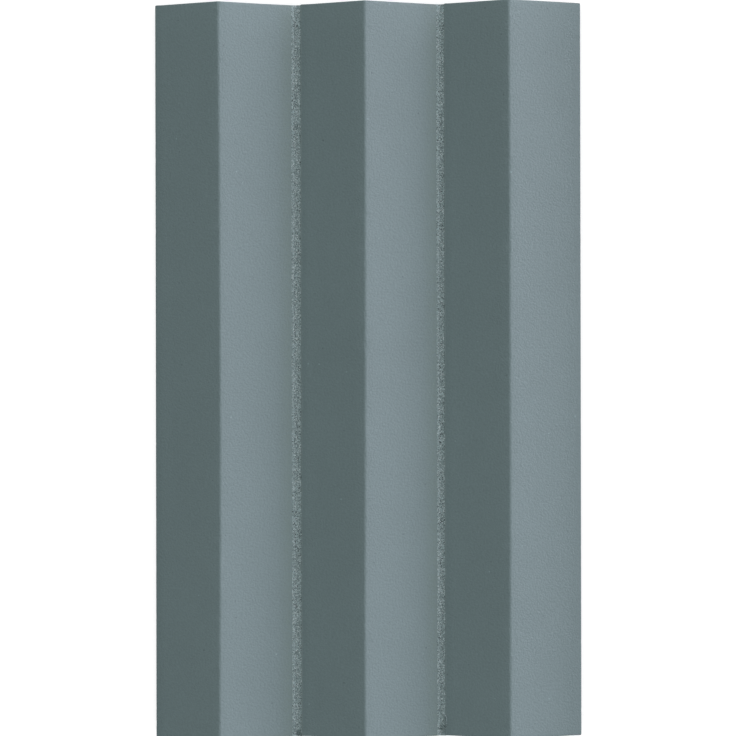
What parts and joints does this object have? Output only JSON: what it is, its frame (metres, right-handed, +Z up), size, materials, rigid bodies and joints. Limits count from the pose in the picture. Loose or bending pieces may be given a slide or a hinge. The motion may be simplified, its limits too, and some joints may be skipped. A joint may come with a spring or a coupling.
{
  "type": "ridged mosaic tile sheet",
  "caption": "Rectangular mosaic sheet of long ceramic strips with triangular ridges, set side by side with grouted joints on a backing mesh.",
  "frame": {"origin": "under the middle of the sheet, on the underside of the backing mesh that it lies on", "axes": "+Z up from the back to the ridged face, +Y along the strips, +X across them from left to right as the relief side is seen"},
  "size_m": [0.186, 0.3206, 0.0203],
  "materials": {
    "strip": "matt",
    "grout": "matt",
    "mesh": "matt"
  },
  "bodies": {
    "root": {"strip_left": "strip", "strip_middle": "strip", "strip_right": "strip", "joint_left": "grout", "joint_right": "grout", "backing_mesh": "mesh"}
  },
  "joints": []
}
